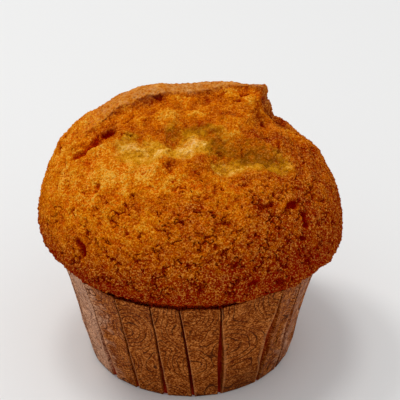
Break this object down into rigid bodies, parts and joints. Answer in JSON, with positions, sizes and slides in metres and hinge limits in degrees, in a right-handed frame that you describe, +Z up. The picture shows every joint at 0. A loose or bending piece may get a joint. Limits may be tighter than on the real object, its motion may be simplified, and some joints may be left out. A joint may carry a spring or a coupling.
{
  "type": "muffin",
  "caption": "Baked muffin with a high, cracked dome that overhangs its pleated paper case.",
  "frame": {"origin": "middle of the paper case's flat underside", "axes": "+Z up, -Y towards the muffin's front, where the burst crumb shows, +X to its right"},
  "size_m": [0.0737, 0.0706, 0.0664],
  "materials": {
    "crust": "golden brown baked crust, satin, pale crumb where it burst",
    "case_paper": "greaseproof baking paper, brown and slightly glossy"
  },
  "bodies": {
    "root": {"cake": "crust", "paper_case": "case_paper"}
  },
  "joints": []
}
